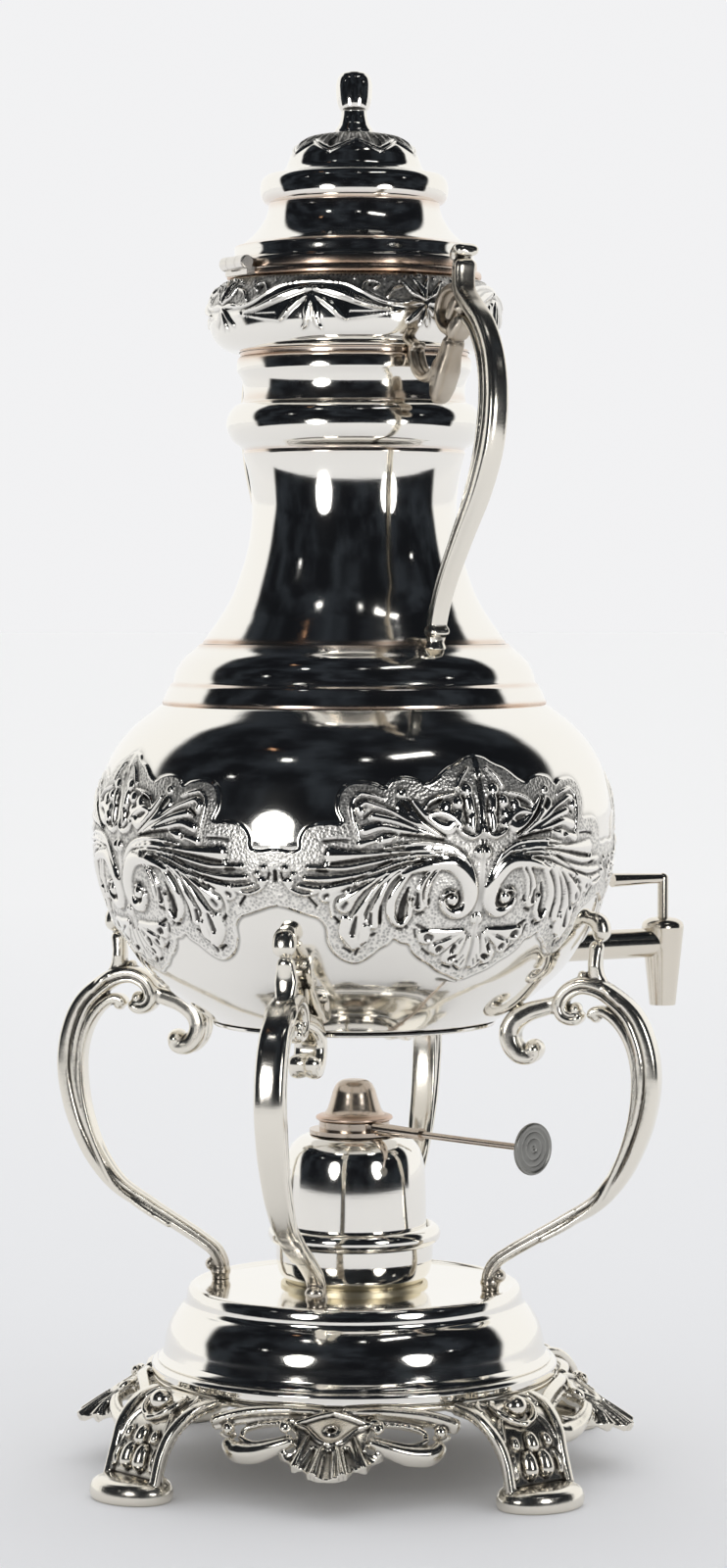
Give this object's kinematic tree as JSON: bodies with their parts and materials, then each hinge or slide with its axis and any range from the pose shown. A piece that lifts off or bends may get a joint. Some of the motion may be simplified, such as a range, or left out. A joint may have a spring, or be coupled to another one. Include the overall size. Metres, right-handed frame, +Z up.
{
  "type": "samovar",
  "caption": "Silver-plated hot-water urn with a hinged lid, side handles and a key tap, on scrolled legs over a spirit burner.",
  "frame": {"origin": "on the table, under the middle of the whole urn with its tap", "axes": "+Z up, +X toward the tap; the vessel's own axis stands 15.025 mm behind the origin"},
  "size_m": [0.242, 0.2108, 0.4807],
  "materials": {
    "silver_plate": "mirror-polished silver plate with fine wipe scratches and copper showing at worn seams",
    "cast_silver": "polished cast silver plate with dark oxide in the hollows",
    "fitting_metal": "worn, slightly warm nickel silver",
    "brass": "bright brass",
    "wick_cotton": "braided cotton, matt"
  },
  "bodies": {
    "urn": {"bowl": "silver_plate", "bowl_bottom": "silver_plate", "shoulder_ring": "silver_plate", "neck": "silver_plate", "collar": "silver_plate", "mouth_rim": "silver_plate", "rim_hinge_leaf": "fitting_metal", "hinge_pin": "brass", "handle_front": "cast_silver", "handle_back": "cast_silver", "leg_1": "cast_silver", "leg_2": "cast_silver", "leg_3": "cast_silver", "leg_4": "cast_silver", "tap_rose": "fitting_metal", "tap_body": "fitting_metal", "tap_cap": "fitting_metal", "base_drum": "silver_plate", "base_ring": "silver_plate", "foot_1": "cast_silver", "foot_2": "cast_silver", "foot_3": "cast_silver", "foot_4": "cast_silver", "skirt_1": "cast_silver", "skirt_2": "cast_silver", "skirt_3": "cast_silver", "skirt_4": "cast_silver", "burner_seat": "brass"},
    "lid": {"lid_shell": "silver_plate", "lid_dome": "silver_plate", "finial": "silver_plate", "finial_nut": "fitting_metal", "lid_hinge_leaf": "fitting_metal"},
    "tap_key": {"tap_plug": "fitting_metal", "tap_lever": "fitting_metal"},
    "burner": {"burner_cup": "silver_plate", "burner_bead": "silver_plate", "burner_font": "silver_plate", "burner_gallery": "fitting_metal", "wick_tube": "fitting_metal", "spindle_sleeve": "fitting_metal"},
    "snuffer": {"snuffer_cap": "fitting_metal"},
    "knob": {"knob_spindle": "fitting_metal", "knob_disc": "fitting_metal", "wick_wheel": "fitting_metal"},
    "wick_strip": {"wick": "wick_cotton"}
  },
  "joints": [
    {"name": "lid_hinge", "type": "hinge", "parent": "urn", "child": "lid", "pos_m": [-0.06123, 0, 0.4135], "axis": [0, -1, 0], "range_deg": [0, 105]},
    {"name": "tap_turn", "type": "hinge", "parent": "urn", "child": "tap_key", "pos_m": [0.11398, 0, 0.1755], "axis": [0, 0, 1], "range_deg": [-90, 90]},
    {"name": "burner_lift", "type": "slide", "parent": "urn", "child": "burner", "axis": [0, 0, 1], "range_m": [0, 0.006]},
    {"name": "snuffer_lift", "type": "slide", "parent": "burner", "child": "snuffer", "axis": [0, 0, 1], "range_m": [0, 0.0125]},
    {"name": "knob_turn", "type": "hinge", "parent": "burner", "child": "knob", "pos_m": [-0.00254, -0.05877, 0.1174], "axis": [0.2588, -0.9659, 0], "range_deg": [-75, 150]},
    {"name": "wick_rise", "type": "slide", "parent": "burner", "child": "wick_strip", "axis": [0, 0, 1], "range_m": [-0.0026, 0.0052]}
  ],
  "couplings": [
    {"joint": "wick_rise", "follows": "knob_turn", "m_per_rad": 0.0019}
  ]
}
